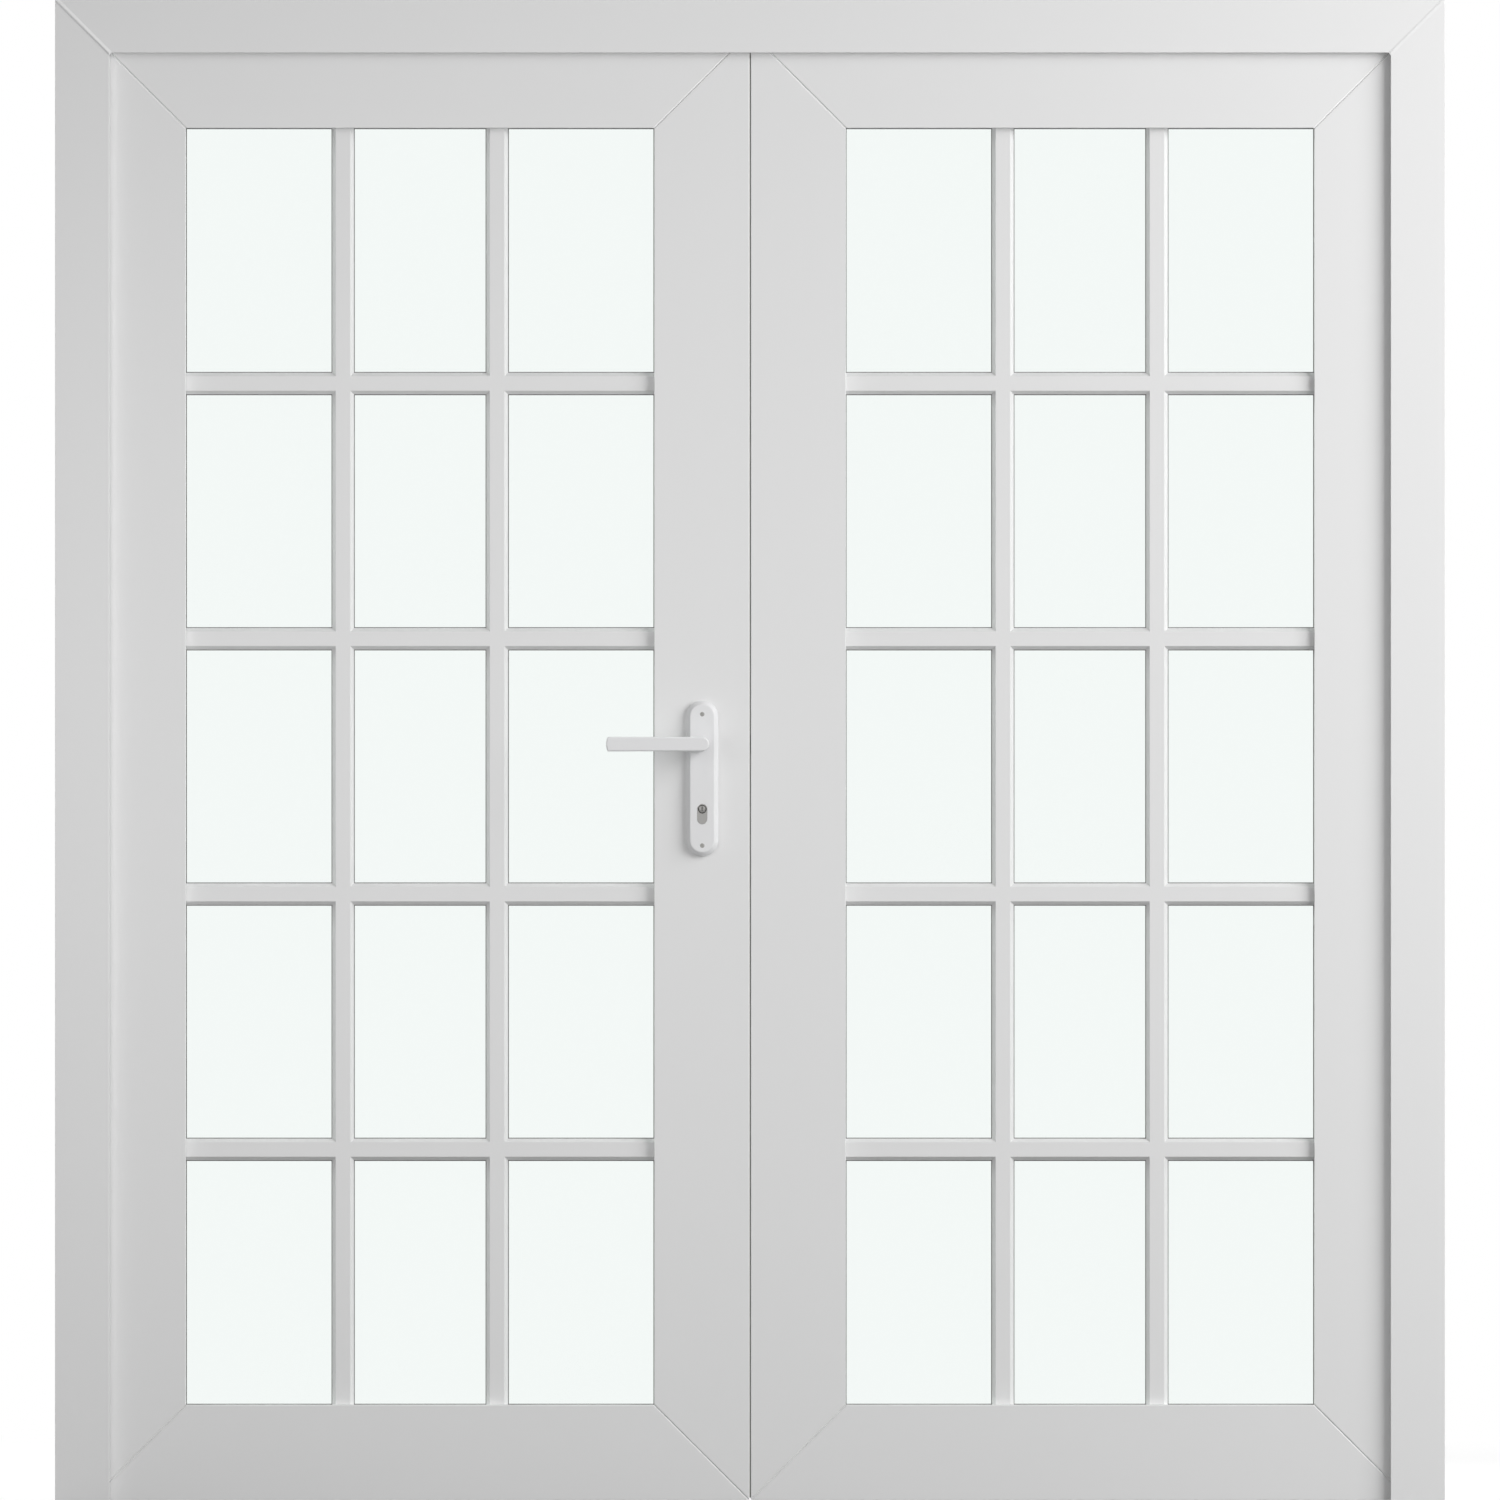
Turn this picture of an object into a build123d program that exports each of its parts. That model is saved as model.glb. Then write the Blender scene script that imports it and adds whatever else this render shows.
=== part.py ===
from build123d import *
import math
import os

# A pair of white glazed interior doors in their own frame. X runs across the pair, Y from the
# casing side to the opening side, Z up. The origin is on the floor, under the middle of the pair,
# halfway through the leaves. Both leaves swing away from the casing. Millimetres throughout.

os.makedirs("parts", exist_ok=True)

# Leaves
leaf_width = 912.0
leaf_height = 2032.0
leaf_thickness = 40.0
member_width = 131.5
arris = 0.6
mitre_arris = 1.6

# Running gaps
meeting_gap = 2.4
side_gap = 3.0
head_gap = 3.0
floor_gap = 4.0
running_clearance = 0.4
seat_clearance = 0.2
cut_over = 1.0

# Glass and glazing bars
glass_thickness = 5.0
glass_bite = 11.0
glazing_clearance = 0.2
columns = 3
rows = 5
bar_width = 30.0
bar_bevel = 5.0
bar_setback = 10.0
bar_pitch = 213.5

# Frame
casing_width = 75.0
casing_thickness = 12.0
casing_overlap = 26.0
casing_head_overlap = 27.5
casing_arris = 0.4
casing_standoff = 2.0
jamb_thickness = 35.0
housing_depth = 10.0
fixing_radius = 3.25
fixing_head_radius = 7.0
fixing_head_depth = 8.0
fixing_from_hinge = 125.0

# Seal
seal_inset = 12.0
seal_stem_width = 3.0
seal_stem_depth = 5.0
seal_lip_width = 9.0
seal_lip_height = 1.6
seal_lip_round = 1.0

# Hinges
hinge_height = 100.0
hinge_thickness = 2.5
hinge_wing_depth = 31.0
hinge_corner = 6.0
knuckle_radius = 6.0
knuckle_count = 5
knuckle_gap = 0.4
knuckle_offset = 6.6
pin_radius = 3.0
pin_clearance = 0.1
pin_head_radius = 4.6
pin_head_height = 2.4
hinge_top_margin = 180.0
hinge_bottom_margin = 255.0
hinge_screw_near = 11.0
hinge_screw_far = 21.0
hinge_screw_end_margin = 14.0

# Countersunk screws
screw_head_radius = 4.0
screw_radius = 2.0
screw_length = 24.0
screw_tip = 4.0
short_screw_length = 8.0

# Lock case, faceplate and bolts
backset = 65.0
spindle_height = 1051.0
cylinder_drop = 90.0
case_depth = 90.0
case_thickness = 16.0
case_above_spindle = 33.0
case_below_spindle = 132.0
case_fit = 0.5
edge_plate_width = 22.0
faceplate_thickness = 3.0
faceplate_height = 235.0
latch_thickness = 12.0
latch_height = 26.0
latch_reach = 11.0
latch_length = 32.0
latch_flat = 4.0
latch_tail_height = 10.0
latch_tail_end = 44.0
latch_tail_thickness = 6.0
deadbolt_thickness = 12.0
deadbolt_height = 20.0
deadbolt_length = 73.0
deadbolt_throw = 20.0
follower_radius = 9.0
spindle_width = 8.0
spindle_half_length = 56.0

# Key cylinder
cylinder_width = 14.0
cylinder_height = 28.0
cylinder_recess = 1.0
plug_radius = 5.0
plug_clearance = 0.1
plug_edge = 0.4
bore_mouth_width = 1.2
cam_radius = 11.0
cam_width = 7.0
cam_thickness = 8.0
cam_end_clearance = 0.7
keyway_width = 1.8
keyway_height = 5.6
keyway_depth = 12.0

# Handle plates
plate_width = 44.0
plate_height = 215.0
plate_thickness = 11.0
plate_bevel = 5.2
plate_bevel_round = 3.0
plate_wall = 3.0
plate_side_wall = 5.0
plate_rise = 2.2
plate_screw_spacing = 182.0
plate_screw_above_spindle = 41.4
plate_screw_radius = 2.4
plate_screw_head_radius = 3.2
plate_boss_radius = 5.5
plate_thread_depth = 8.0

# Levers
lever_projection = 56.0
lever_depth = 14.0
lever_length = 133.0
lever_neck_radius = 9.5
lever_root_height = 19.6
lever_end_height = 20.2
lever_end_bulge = 2.4
lever_front_round = 2.2
lever_back_round = 3.0
neck_entry = 4.0

# Strike plate and its pockets
strike_thickness = 2.5
strike_height = 150.0
strike_centre_drop = 34.0
strike_clearance = 1.0
pocket_spare = 5.0

# Flush bolts in the second leaf's meeting edge
flush_plate_height = 160.0
flush_plate_thickness = 2.5
flush_plate_inset = 20.0
flush_rod_radius = 5.0
flush_rod_depth = 14.0
flush_rod_rest = 2.0
flush_throw = 18.0
thumb_width = 7.0
thumb_height = 14.0
thumb_recess = 1.0
keeper_length = 44.0
keeper_width = 24.0
keeper_thickness = 2.0

# Worked-out places
leaf_bottom = floor_gap
leaf_top = leaf_bottom + leaf_height
leaf_front = -leaf_thickness / 2
leaf_back = leaf_thickness / 2
meeting_x = meeting_gap / 2
leaf_outer_x = meeting_x + leaf_width
pane_inner_x = meeting_x + member_width
pane_outer_x = leaf_outer_x - member_width
pane_bottom = leaf_bottom + member_width
pane_top = leaf_top - member_width
pane_centre_x = (pane_inner_x + pane_outer_x) / 2
jamb_inner_x = leaf_outer_x + side_gap
jamb_outer_x = jamb_inner_x + jamb_thickness
head_underside = leaf_top + head_gap
head_top = head_underside + jamb_thickness
casing_back = leaf_front - casing_standoff
casing_front = casing_back - casing_thickness
casing_inner_x = leaf_outer_x - casing_overlap
casing_outer_x = casing_inner_x + casing_width
casing_inner_top = leaf_top - casing_head_overlap
casing_outer_top = casing_inner_top + casing_width
pin_x = leaf_outer_x + side_gap / 2
pin_y = leaf_back + knuckle_offset
spindle_x = -(meeting_x + backset)
cylinder_z = spindle_height - cylinder_drop
case_top = spindle_height + case_above_spindle
case_bottom = spindle_height - case_below_spindle
deadbolt_bottom = cylinder_z + cam_radius + running_clearance
deadbolt_z = deadbolt_bottom + deadbolt_height / 2
plate_front = leaf_front - plate_thickness
plate_screw_heights = (
    spindle_height + plate_screw_above_spindle,
    spindle_height + plate_screw_above_spindle - plate_screw_spacing,
)
plate_z = sum(plate_screw_heights) / 2 + plate_rise
top_hinge_z = leaf_top - hinge_top_margin - hinge_height / 2
bottom_hinge_z = leaf_bottom + hinge_bottom_margin + hinge_height / 2
hinge_heights = {
    "top": top_hinge_z,
    "middle": (top_hinge_z + bottom_hinge_z) / 2,
    "bottom": bottom_hinge_z,
}
fixing_heights = (
    hinge_heights["bottom"] - fixing_from_hinge,
    hinge_heights["middle"] - fixing_from_hinge,
    hinge_heights["middle"] + fixing_from_hinge,
    hinge_heights["top"] - fixing_from_hinge,
)
pocket_depth = deadbolt_throw + pocket_spare
sides = {"left": -1, "right": 1}


def block(x_range, y_range, z_range):
    """Box between the given limits, each a pair in any order."""
    limits = [sorted(pair) for pair in (x_range, y_range, z_range)]
    size = [high - low for low, high in limits]
    centre = [(low + high) / 2 for low, high in limits]
    return Pos(*centre) * Box(*size)


def board(corners, front, back):
    """Flat board from its (x, z) outline, between two y values."""
    outline = Polyline(*[(x, front, z) for x, z in corners], close=True)
    return extrude(make_face(outline), amount=back - front, dir=(0, 1, 0))


def face_edges(solid):
    """Edges of a board's two faces: those along X or Z, and the slanting ones of its mitres."""
    edges = solid.faces().filter_by(Axis.Y).edges()
    straight = edges.filter_by(Axis.X) + edges.filter_by(Axis.Z)
    mitred = edges.filter_by(lambda edge: edge not in straight)
    return straight, mitred


def leaf_board(corners, front, back):
    """Mitred board of a leaf: finely eased along its length, with a V groove at each mitre."""
    solid = board(corners, front, back)
    solid = chamfer(face_edges(solid)[1], mitre_arris)
    return chamfer(face_edges(solid)[0], arris)


def casing_board(corners, front, back):
    """Mitred board of the casing: crisp edges, and mitres that close tight."""
    solid = board(corners, front, back)
    return chamfer(face_edges(solid)[0], casing_arris)


def rod_y(radius, x, z, start, end):
    """Round bar along Y."""
    return Pos(x, (start + end) / 2, z) * Rot(90, 0, 0) * Cylinder(radius, abs(end - start))


def rod_z(radius, x, y, start, end):
    """Round bar along Z."""
    return Pos(x, y, (start + end) / 2) * Cylinder(radius, abs(end - start))


def edge_plate(height, width, thickness, face_x, inward, z):
    """Round-ended plate let into a leaf's edge: face_x is its outer face, inward its direction."""
    outline = Plane.YZ.offset(face_x) * Pos(0, z) * SlotOverall(height, width, rotation=90)
    return extrude(outline, amount=thickness, dir=(inward, 0, 0))


def obround_y(height, width, x, z, start, end):
    """Upright round-ended bar along Y."""
    place = Plane((x, start, z), x_dir=(1, 0, 0), z_dir=(0, -1, 0))
    outline = place * SlotOverall(height, width, rotation=90)
    return extrude(outline, amount=abs(end - start), dir=(0, math.copysign(1, end - start), 0))


def wood_screw(point, direction, length=screw_length):
    """Countersunk screw, its flat head's centre at the point, driven along the direction."""
    head_height = screw_head_radius - screw_radius
    shank_end = length - screw_tip
    profile = Polyline(
        (0, 0),
        (screw_head_radius, 0),
        (screw_radius, head_height),
        (screw_radius, shank_end),
        (0, length),
        close=True,
    )
    turned = revolve(Plane.XZ * make_face(profile), Axis.Z)
    return Plane(origin=point, z_dir=direction) * turned


def save(name, *solids):
    """Write one node, as one solid or a group of separate solids."""
    shape = solids[0] if len(solids) == 1 else Compound(children=list(solids))
    export_step(shape, f"parts/{name}.step")


# Frame seal: one strip pushed into a groove in the back of the casing, up, across and down
seal_x = leaf_outer_x - seal_inset
seal_z = leaf_top - seal_inset
seal_path = Polyline(
    (-seal_x, casing_back, 0),
    (-seal_x, casing_back, seal_z),
    (seal_x, casing_back, seal_z),
    (seal_x, casing_back, 0),
)
lip = Pos(0, seal_lip_height / 2) * Rectangle(seal_lip_width, seal_lip_height)
lip = fillet(lip.vertices().group_by(Axis.Y)[-1], seal_lip_round)
stem = Pos(0, -seal_stem_depth / 2) * Rectangle(seal_stem_width, seal_stem_depth)
seal_section = Pos(-seal_x, casing_back, 0) * (lip + stem)
frame_seal = sweep(seal_section, path=seal_path, transition=Transition.RIGHT)
save("frame_seal", frame_seal)

# Casing: two legs and a head, mitred at the top corners
for name, side in sides.items():
    leg = casing_board(
        [
            (side * casing_inner_x, 0),
            (side * casing_outer_x, 0),
            (side * casing_outer_x, casing_outer_top),
            (side * casing_inner_x, casing_inner_top),
        ],
        casing_front,
        casing_back,
    )
    save(f"{name}_casing", leg - frame_seal)
head_casing = casing_board(
    [
        (-casing_outer_x, casing_outer_top),
        (casing_outer_x, casing_outer_top),
        (casing_inner_x, casing_inner_top),
        (-casing_inner_x, casing_inner_top),
    ],
    casing_front,
    casing_back,
)
save("head_casing", head_casing - frame_seal)


# Hinges
def wing_blank(side, on_leaf, z, extra):
    """Flat wing of a hinge, let into the leaf or the jamb, with its far corners rounded."""
    away = -side if on_leaf else side
    face_x = side * pin_x + away * side_gap / 2
    plate = block(
        (face_x, face_x + away * hinge_thickness),
        (leaf_back - hinge_wing_depth - extra, leaf_back + (extra if extra else 0)),
        (z - hinge_height / 2 - extra, z + hinge_height / 2 + extra),
    )
    far_corners = plate.edges().filter_by(Axis.X).group_by(Axis.Y)[0]
    return fillet(far_corners, hinge_corner + extra)


def hinge_screws(side, on_leaf, z):
    """Three screws of one wing, the middle one nearer the knuckle."""
    away = -side if on_leaf else side
    face_x = side * pin_x + away * side_gap / 2
    spread = hinge_height / 2 - hinge_screw_end_margin
    near = leaf_back - hinge_screw_near
    far = leaf_back - hinge_screw_far
    places = ((far, z - spread), (near, z), (far, z + spread))
    return [wood_screw((face_x, y, height), (away, 0, 0)) for y, height in places]


def hinge_wing(side, on_leaf, z):
    """Wing with its knuckles, bored for the pin and countersunk for its screws."""
    away = -side if on_leaf else side
    wing = wing_blank(side, on_leaf, z, 0)
    pitch = hinge_height / knuckle_count
    first = 1 if on_leaf else 0
    for index in range(first, knuckle_count, 2):
        low = z - hinge_height / 2 + index * pitch + knuckle_gap / 2
        high = low + pitch - knuckle_gap
        face_x = side * pin_x + away * side_gap / 2
        tab = block(
            (face_x, face_x + away * hinge_thickness),
            (leaf_back - knuckle_gap, pin_y),
            (low, high),
        )
        wing += tab + rod_z(knuckle_radius, side * pin_x, pin_y, low, high)
    wing -= rod_z(pin_radius + pin_clearance, side * pin_x, pin_y, z - hinge_height, z + hinge_height)
    for screw in hinge_screws(side, on_leaf, z):
        wing -= screw
    return wing


def hinge_pin(side, z):
    """Loose pin with a button head resting on the top knuckle and a rounded foot."""
    top = z + hinge_height / 2
    shank = rod_z(pin_radius, side * pin_x, pin_y, z - hinge_height / 2 - pin_head_height, top)
    head = rod_z(pin_head_radius, side * pin_x, pin_y, top, top + pin_head_height)
    head = fillet(head.edges().group_by(Axis.Z)[-1], pin_head_height / 2)
    return shank + head


screws = {"jamb": [], "left_leaf": [], "right_leaf": []}
for name, side in sides.items():
    pins = []
    for place, z in hinge_heights.items():
        save(f"{name}_{place}_hinge_jamb_wing", hinge_wing(side, False, z))
        save(f"{name}_{place}_hinge_leaf_wing", hinge_wing(side, True, z))
        pins.append(hinge_pin(side, z))
        screws["jamb"] += hinge_screws(side, False, z)
        screws[f"{name}_leaf"] += hinge_screws(side, True, z)
    save(f"{name}_hinge_pins", *pins)
save("jamb_hinge_screws", *screws["jamb"])

# Jambs, housed into the head, mortised for the hinges and bored for the wall fixings
for name, side in sides.items():
    jamb = block(
        (side * jamb_inner_x, side * jamb_outer_x),
        (casing_back, leaf_back),
        (0, head_underside + housing_depth),
    )
    back_edges = jamb.edges().filter_by(Axis.Z).group_by(Axis.Y)[-1]
    jamb = chamfer(back_edges, arris)
    for z in hinge_heights.values():
        jamb -= wing_blank(side, False, z, seat_clearance)
        for screw in hinge_screws(side, False, z):
            jamb -= screw
    for z in fixing_heights:
        through = Pos(side * (jamb_inner_x + jamb_outer_x) / 2, 0, z) * Rot(0, 90, 0)
        jamb -= through * Cylinder(fixing_radius, jamb_thickness * 2)
        sink = Pos(side * (jamb_inner_x + fixing_head_depth / 2), 0, z) * Rot(0, 90, 0)
        jamb -= sink * Cylinder(fixing_head_radius, fixing_head_depth)
    save(f"{name}_jamb", jamb)

# Head jamb with the keeper for the top flush bolt
flush_x = meeting_x + flush_rod_depth
keeper_hole_radius = flush_rod_radius + running_clearance
keeper = block(
    (flush_x - keeper_length / 2, flush_x + keeper_length / 2),
    (-keeper_width / 2, keeper_width / 2),
    (head_underside, head_underside + keeper_thickness),
)
head_jamb = block((-jamb_outer_x, jamb_outer_x), (casing_back, leaf_back), (head_underside, head_top))
head_jamb = chamfer(head_jamb.edges().filter_by(Axis.X).group_by(Axis.Y)[-1], arris)
for side in sides.values():
    head_jamb -= block(
        (side * jamb_inner_x, side * (jamb_outer_x + cut_over)),
        (casing_back - cut_over, leaf_back + cut_over),
        (head_underside - cut_over, head_underside + housing_depth),
    )
keeper_bore = rod_z(keeper_hole_radius, flush_x, 0, leaf_top, leaf_top + flush_throw + cut_over)
save("head_jamb", head_jamb - keeper - keeper_bore)
save("top_bolt_keeper", keeper - keeper_bore)


# Leaves
def leaf_members(side):
    """Stiles and rails of one leaf, mitred at the corners and grooved for the glass."""
    hinge_x, meet_x = side * leaf_outer_x, side * meeting_x
    open_hinge_x, open_meet_x = side * pane_outer_x, side * pane_inner_x
    outlines = {
        "hinge_stile": [
            (hinge_x, leaf_bottom),
            (hinge_x, leaf_top),
            (open_hinge_x, pane_top),
            (open_hinge_x, pane_bottom),
        ],
        "meeting_stile": [
            (meet_x, leaf_bottom),
            (meet_x, leaf_top),
            (open_meet_x, pane_top),
            (open_meet_x, pane_bottom),
        ],
        "top_rail": [
            (hinge_x, leaf_top),
            (meet_x, leaf_top),
            (open_meet_x, pane_top),
            (open_hinge_x, pane_top),
        ],
        "bottom_rail": [
            (hinge_x, leaf_bottom),
            (meet_x, leaf_bottom),
            (open_meet_x, pane_bottom),
            (open_hinge_x, pane_bottom),
        ],
    }
    groove = glass_pane(side, glazing_clearance)
    return {
        name: leaf_board(corners, leaf_front, leaf_back) - groove
        for name, corners in outlines.items()
    }


def glass_pane(side, extra):
    """Glass of one leaf, held in the grooves all round."""
    half_thickness = glass_thickness / 2 + extra
    return block(
        (side * (pane_inner_x - glass_bite - extra), side * (pane_outer_x + glass_bite + extra)),
        (-half_thickness, half_thickness),
        (pane_bottom - glass_bite - extra, pane_top + glass_bite + extra),
    )


def bar_profile_points(back, front):
    """Section of a glazing bar as (across, depth) points: flat face with a bevel each side."""
    half = bar_width / 2
    shoulder = front + math.copysign(bar_bevel, back - front)
    return [
        (-half, back),
        (-half, shoulder),
        (-half + bar_bevel, front),
        (half - bar_bevel, front),
        (half, shoulder),
        (half, back),
    ]


def grille(side, face):
    """One-piece grille of bars on one face of the glass; face is -1 for the casing side."""
    back = face * (glass_thickness / 2 + glazing_clearance)
    front = face * (leaf_thickness / 2 - bar_setback)
    section = bar_profile_points(back, front)
    low_x = min(side * pane_inner_x, side * pane_outer_x) + seat_clearance
    high_x = max(side * pane_inner_x, side * pane_outer_x) - seat_clearance
    low_z = pane_bottom + seat_clearance
    high_z = pane_top - seat_clearance
    solid = None
    for column in range(1, columns):
        x = side * pane_centre_x + (column - columns / 2) * bar_pitch
        outline = make_face(Polyline(*[(x + across, y, low_z) for across, y in section], close=True))
        bar = extrude(outline, amount=high_z - low_z, dir=(0, 0, 1))
        solid = bar if solid is None else solid + bar
    for row in range(1, rows):
        z = pane_bottom + row * (pane_top - pane_bottom) / rows
        outline = make_face(Polyline(*[(low_x, y, z + across) for across, y in section], close=True))
        solid += extrude(outline, amount=high_x - low_x, dir=(1, 0, 0))
    return solid


members = {name: leaf_members(side) for name, side in sides.items()}
for name, side in sides.items():
    save(f"{name}_glass", glass_pane(side, 0))
    save(f"{name}_front_grille", grille(side, -1))
    save(f"{name}_back_grille", grille(side, 1))
    stile = members[name]["hinge_stile"]
    for z in hinge_heights.values():
        stile -= wing_blank(side, True, z, seat_clearance)
        for screw in hinge_screws(side, True, z):
            stile -= screw
    members[name]["hinge_stile"] = stile

# Lock in the left leaf's meeting stile
lock_edge = -meeting_x
case_front = lock_edge - faceplate_thickness
faceplate_z = (case_top + case_bottom) / 2
plate_screw_offset = faceplate_height / 2 - edge_plate_width / 2
faceplate_screws = [
    wood_screw((lock_edge, 0, faceplate_z + sign * plate_screw_offset), (-1, 0, 0)) for sign in (1, -1)
]


def channel(length, thickness, height, z):
    """Way through the faceplate and into the case for a bolt of the given size."""
    half_thickness = thickness / 2 + running_clearance
    half_height = height / 2 + running_clearance
    return block(
        (lock_edge + cut_over, lock_edge - length - running_clearance),
        (-half_thickness, half_thickness),
        (z - half_height, z + half_height),
    )


latch_way = channel(latch_length + latch_reach, latch_thickness, latch_height, spindle_height)
tail_way = channel(latch_tail_end + latch_reach, latch_tail_thickness, latch_tail_height, spindle_height)
deadbolt_way = channel(deadbolt_length, deadbolt_thickness, deadbolt_height, deadbolt_z)
follower_bore = rod_y(follower_radius + running_clearance, spindle_x, spindle_height, leaf_front, leaf_back)
cylinder_z_mid = cylinder_z + cylinder_width / 2 - cylinder_height / 2
cylinder_opening = obround_y(
    cylinder_height + 2 * seat_clearance,
    cylinder_width + 2 * seat_clearance,
    spindle_x,
    cylinder_z_mid,
    -leaf_thickness,
    leaf_thickness,
)
cam_space = rod_y(
    cam_radius + running_clearance * 2,
    spindle_x,
    cylinder_z,
    -cam_thickness / 2 - running_clearance,
    cam_thickness / 2 + running_clearance,
)
lock_case = block(
    (case_front, case_front - case_depth),
    (-case_thickness / 2, case_thickness / 2),
    (case_bottom, case_top),
)
lock_mortise = block(
    (lock_edge + cut_over, case_front - case_depth - case_fit),
    (-case_thickness / 2 - case_fit, case_thickness / 2 + case_fit),
    (case_bottom - case_fit, case_top + case_fit),
)
for way in (latch_way, tail_way, deadbolt_way, follower_bore, cylinder_opening, cam_space):
    lock_case -= way
save("lock_case", lock_case)
faceplate = edge_plate(faceplate_height, edge_plate_width, faceplate_thickness, lock_edge, -1, faceplate_z)
faceplate_seat = edge_plate(
    faceplate_height + 2 * seat_clearance,
    edge_plate_width + 2 * seat_clearance,
    faceplate_thickness,
    lock_edge,
    -1,
    faceplate_z,
)
faceplate = faceplate - latch_way - deadbolt_way
for screw in faceplate_screws:
    faceplate -= screw
save("lock_faceplate", faceplate)
screws["left_leaf"] += faceplate_screws

# Latch bolt: bevelled head and a tail that ends short of the follower
latch_outline = [
    (lock_edge - latch_length, -latch_thickness / 2),
    (lock_edge, -latch_thickness / 2),
    (lock_edge + latch_reach, latch_thickness / 2 - latch_flat),
    (lock_edge + latch_reach, latch_thickness / 2),
    (lock_edge - latch_length, latch_thickness / 2),
]
latch_low = spindle_height - latch_height / 2
latch_face = make_face(Polyline(*[(x, y, latch_low) for x, y in latch_outline], close=True))
latch_bolt = extrude(latch_face, amount=latch_height, dir=(0, 0, 1))
latch_bolt += block(
    (lock_edge - latch_length, lock_edge - latch_tail_end),
    (-latch_tail_thickness / 2, latch_tail_thickness / 2),
    (spindle_height - latch_tail_height / 2, spindle_height + latch_tail_height / 2),
)
save("latch_bolt", latch_bolt)

# Dead bolt, drawn back flush with the faceplate
deadbolt = block(
    (lock_edge, lock_edge - deadbolt_length),
    (-deadbolt_thickness / 2, deadbolt_thickness / 2),
    (deadbolt_bottom, deadbolt_bottom + deadbolt_height),
)
save("dead_bolt", chamfer(deadbolt.faces().sort_by(Axis.X)[-1].edges(), arris))

# Square spindle and the follower that it turns inside the case
spindle = block(
    (spindle_x - spindle_width / 2, spindle_x + spindle_width / 2),
    (-spindle_half_length, spindle_half_length),
    (spindle_height - spindle_width / 2, spindle_height + spindle_width / 2),
)
square_hole = block(
    (spindle_x - spindle_width / 2 - seat_clearance / 2, spindle_x + spindle_width / 2 + seat_clearance / 2),
    (-spindle_half_length - seat_clearance, spindle_half_length + seat_clearance),
    (
        spindle_height - spindle_width / 2 - seat_clearance / 2,
        spindle_height + spindle_width / 2 + seat_clearance / 2,
    ),
)
save("spindle", spindle)
follower = rod_y(follower_radius, spindle_x, spindle_height, -case_thickness / 2, case_thickness / 2)
save("lock_follower", follower - square_hole)

# Key cylinder: round-ended body through both plates, with a plug that carries the cam
cylinder_half_length = leaf_thickness / 2 + plate_thickness - cylinder_recess
cylinder = obround_y(
    cylinder_height,
    cylinder_width,
    spindle_x,
    cylinder_z_mid,
    -cylinder_half_length,
    cylinder_half_length,
)
bore_radius = plug_radius + plug_clearance
cylinder -= rod_y(bore_radius, spindle_x, cylinder_z, -leaf_thickness, leaf_thickness)
bore_mouths = cylinder.edges().filter_by(GeomType.CIRCLE).filter_by(lambda edge: edge.is_closed)
cylinder = chamfer(bore_mouths, bore_mouth_width)
cylinder -= block(
    (spindle_x - cylinder_width, spindle_x + cylinder_width),
    (-cam_thickness / 2 - running_clearance, cam_thickness / 2 + running_clearance),
    (cylinder_z - cam_radius - running_clearance, cylinder_z + cylinder_width),
)
save("cylinder_body", cylinder)
plug = rod_y(plug_radius, spindle_x, cylinder_z, -cylinder_half_length, cylinder_half_length)
plug = chamfer(plug.edges().filter_by(GeomType.CIRCLE), plug_edge)
plug += block(
    (spindle_x - cam_width / 2, spindle_x + cam_width / 2),
    (-cam_thickness / 2, cam_thickness / 2),
    (cylinder_z, cylinder_z + cam_radius - cam_end_clearance),
)
for face in (-1, 1):
    plug -= block(
        (spindle_x - keyway_width / 2, spindle_x + keyway_width / 2),
        (face * (cylinder_half_length + cut_over), face * (cylinder_half_length - keyway_depth)),
        (cylinder_z - keyway_height / 2, cylinder_z + keyway_height / 2),
    )
save("key_plug", plug)


def lever(face):
    """Lever with its neck; face is -1 on the casing side and 1 on the opening side."""
    grip_front = face * (leaf_thickness / 2 + lever_projection)
    grip_back = grip_front - face * lever_depth
    root, end = lever_root_height / 2, lever_end_height / 2
    end_x = spindle_x - lever_length + lever_end_bulge
    y = grip_front
    outline = Wire(
        [
            Line((spindle_x, y, spindle_height + root), (end_x, y, spindle_height + end)),
            ThreePointArc(
                (end_x, y, spindle_height + end),
                (end_x - lever_end_bulge, y, spindle_height),
                (end_x, y, spindle_height - end),
            ),
            Line((end_x, y, spindle_height - end), (spindle_x, y, spindle_height - root)),
            ThreePointArc(
                (spindle_x, y, spindle_height - root),
                (spindle_x + root, y, spindle_height),
                (spindle_x, y, spindle_height + root),
            ),
        ]
    )
    grip = extrude(Face(outline), amount=lever_depth, dir=(0, -face, 0))
    front_group, back_group = (0, -1) if face < 0 else (-1, 0)
    grip = fillet(grip.edges().group_by(Axis.Y)[front_group], lever_front_round)
    grip = fillet(grip.edges().group_by(Axis.Y)[back_group], lever_back_round)
    neck_start = face * (leaf_thickness / 2 + plate_thickness - neck_entry)
    neck = rod_y(lever_neck_radius, spindle_x, spindle_height, neck_start, grip_back + face * lever_depth / 2)
    solid = grip + neck
    return solid - square_hole


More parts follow.
